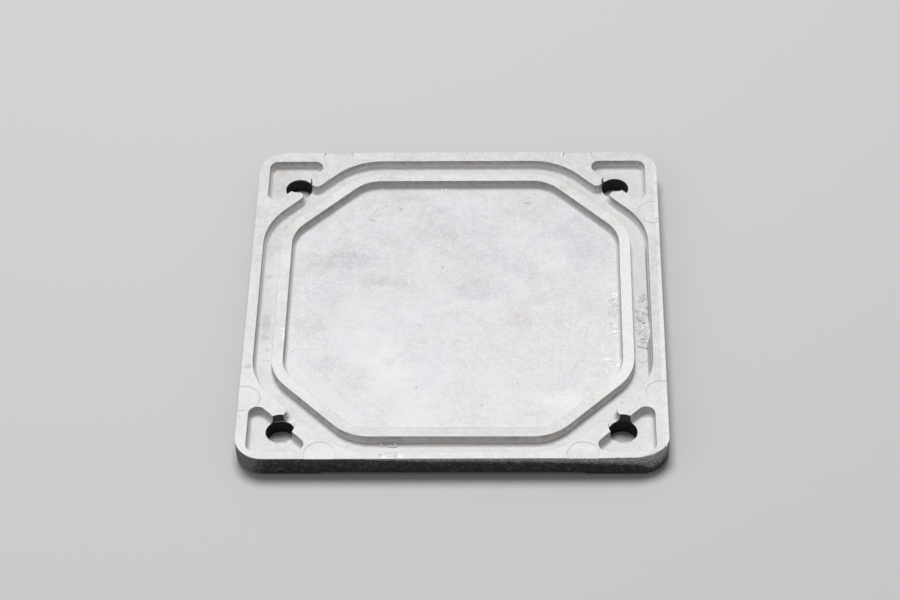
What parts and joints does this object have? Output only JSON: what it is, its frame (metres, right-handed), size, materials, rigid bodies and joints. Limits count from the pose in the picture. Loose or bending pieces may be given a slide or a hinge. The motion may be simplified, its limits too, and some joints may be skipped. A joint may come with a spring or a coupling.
{
  "type": "front cover panel",
  "caption": "Square die-cast cover panel with an octagonal ribbed recess and groove inside, triangular corner pockets and corner bolt holes.",
  "frame": {"origin": "middle of the square outline, on the plane of the corner pads of the front face", "axes": "+Z out of the ribbed inside, square to the plate; X and Y along the sides, with the thinnest stretch of rim on the -Y side"},
  "size_m": [0.086, 0.086, 0.0053],
  "materials": {
    "casting": "as cast, matte"
  },
  "bodies": {
    "root": {"cover_panel": "casting"}
  },
  "joints": []
}
